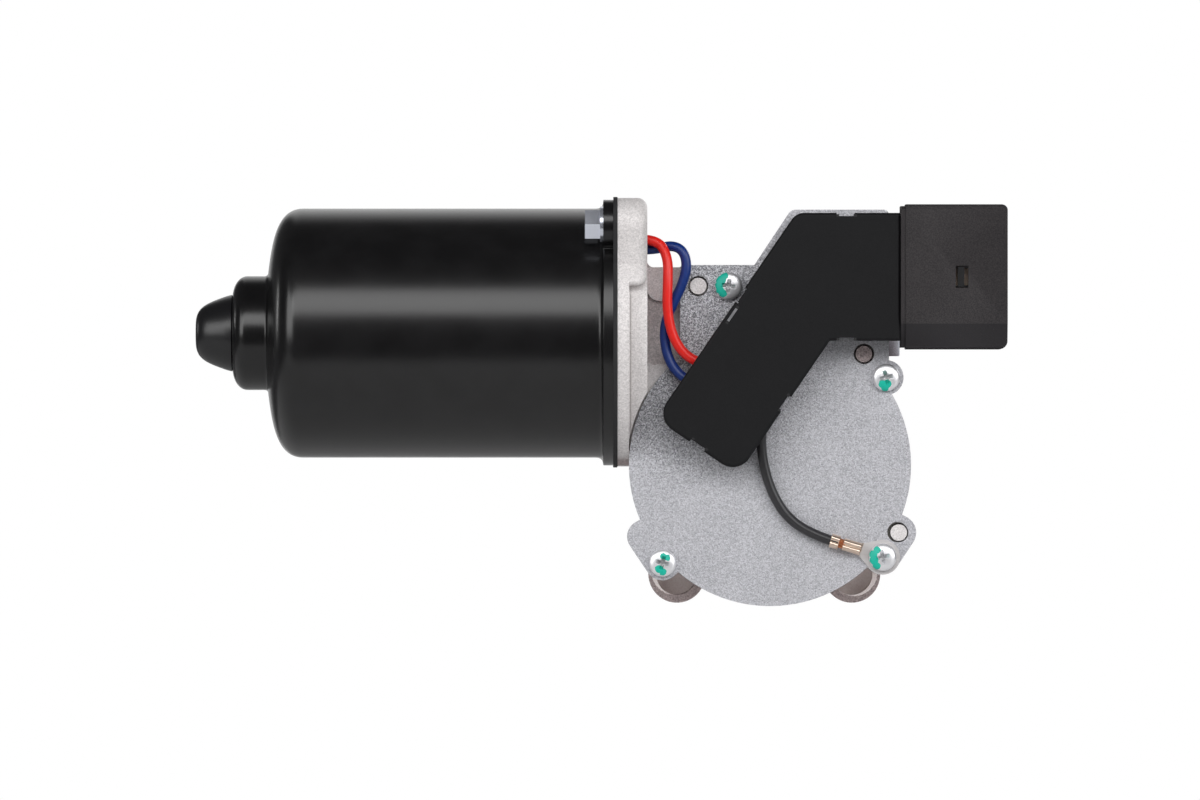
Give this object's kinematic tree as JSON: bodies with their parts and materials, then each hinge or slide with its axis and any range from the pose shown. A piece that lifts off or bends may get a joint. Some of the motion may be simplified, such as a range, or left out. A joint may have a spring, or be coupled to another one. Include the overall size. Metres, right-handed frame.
{
  "type": "wiper motor",
  "caption": "Geared permanent magnet wiper motor with a die cast gear case, output shaft, dog-leg terminal cover and a hooded blade connector.",
  "frame": {"origin": "the output shaft's axis in the plane of the mounting pads", "axes": "+Y along the output shaft, away from the cover plate; the can lies along -X and the connector faces +X; +Z from the output shaft towards the armature's axis"},
  "size_m": [0.2274, 0.0961, 0.1144],
  "materials": {
    "black_paint": "gloss black paint on drawn steel",
    "black_moulding": "matt black moulding",
    "textured_moulding": "spark textured dark grey moulding",
    "brown_moulding": "brown phenolic moulding",
    "white_moulding": "ivory acetal moulding",
    "sintered_bronze": "oil filled sintered bronze",
    "spring_steel": "plain spring steel",
    "ferrite": "ground ferrite",
    "ground_steel": "ground steel",
    "lamination_steel": "stacked electrical steel",
    "copper": "enamelled and bare copper",
    "brass": "stamped brass",
    "tinned_brass": "tinned brass",
    "carbon": "pressed carbon",
    "black_rubber": "matt black rubber",
    "bright_zinc": "bright zinc plate",
    "cast_aluminium": "sand grained die casting",
    "zinc_steel": "grained zinc coated sheet",
    "red_insulation": "smooth red insulation",
    "blue_insulation": "smooth blue insulation",
    "black_insulation": "smooth black insulation"
  },
  "bodies": {
    "motor": {"motor_can": "black_paint", "nose_cap": "black_moulding", "rear_bush": "sintered_bronze", "bush_retainer": "spring_steel", "magnets": "ferrite", "magnet_clips": "spring_steel", "bearing_outer_ring": "ground_steel", "bearing_clip": "spring_steel", "brush_plate": "brown_moulding", "brush_holders": "brass", "low_speed_brush_spring": "spring_steel", "common_brush_spring": "spring_steel", "high_speed_brush_spring": "spring_steel", "choke_coils": "copper", "can_gasket": "black_rubber", "can_screws": "bright_zinc", "gear_housing": "cast_aluminium", "lead_grommet": "black_rubber", "tip_bush": "sintered_bronze", "thrust_screw": "bright_zinc", "lock_nut": "bright_zinc", "inner_bush": "sintered_bronze", "outer_bush": "sintered_bronze", "shaft_seal": "black_rubber", "thrust_washer": "brown_moulding", "output_shim": "bright_zinc", "contact_carrier": "brown_moulding", "contact_fingers": "brass", "contact_rivets": "brass", "plate_gasket": "black_rubber", "cover_plate": "zinc_steel", "cover_screws": "bright_zinc", "terminal_cover": "black_moulding", "terminal_tray": "brown_moulding", "bus_strips": "brass", "connector_hood": "textured_moulding", "terminal_blades": "tinned_brass", "red_lead": "red_insulation", "blue_lead": "blue_insulation", "ground_lead": "black_insulation", "ring_terminal": "tinned_brass"},
    "armature": {"armature_shaft": "ground_steel", "armature_core": "lamination_steel", "armature_windings": "copper", "commutator_bars": "copper", "commutator_hub": "brown_moulding", "bearing_inner_ring": "ground_steel"},
    "output": {"worm_wheel": "white_moulding", "output_shaft": "ground_steel", "contact_ring": "copper", "retaining_clip": "spring_steel"},
    "low_speed_brush_body": {"low_speed_brush": "carbon"},
    "common_brush_body": {"common_brush": "carbon"},
    "high_speed_brush_body": {"high_speed_brush": "carbon"}
  },
  "joints": [
    {"name": "armature_spin", "type": "hinge", "parent": "motor", "child": "armature", "pos_m": [0, -0.025, 0.037], "axis": [1, 0, 0], "continuous": true},
    {"name": "output_spin", "type": "hinge", "parent": "motor", "child": "output", "pos_m": [0, 0, 0], "axis": [0, 1, 0], "continuous": true},
    {"name": "low_speed_brush_slide", "type": "slide", "parent": "motor", "child": "low_speed_brush_body", "axis": [0, 0, 1], "range_m": [0, 0.003], "stiffness_N_per_m": 400, "springref_m": -0.003, "deforming": ["low_speed_brush_spring"]},
    {"name": "common_brush_slide", "type": "slide", "parent": "motor", "child": "common_brush_body", "axis": [0, 0, -1], "range_m": [0, 0.003], "stiffness_N_per_m": 400, "springref_m": -0.003, "deforming": ["common_brush_spring"]},
    {"name": "high_speed_brush_slide", "type": "slide", "parent": "motor", "child": "high_speed_brush_body", "axis": [0, 0.866, -0.5], "range_m": [0, 0.003], "stiffness_N_per_m": 400, "springref_m": -0.003, "deforming": ["high_speed_brush_spring"]}
  ],
  "couplings": [
    {"joint": "output_spin", "follows": "armature_spin", "ratio": -0.015152}
  ]
}
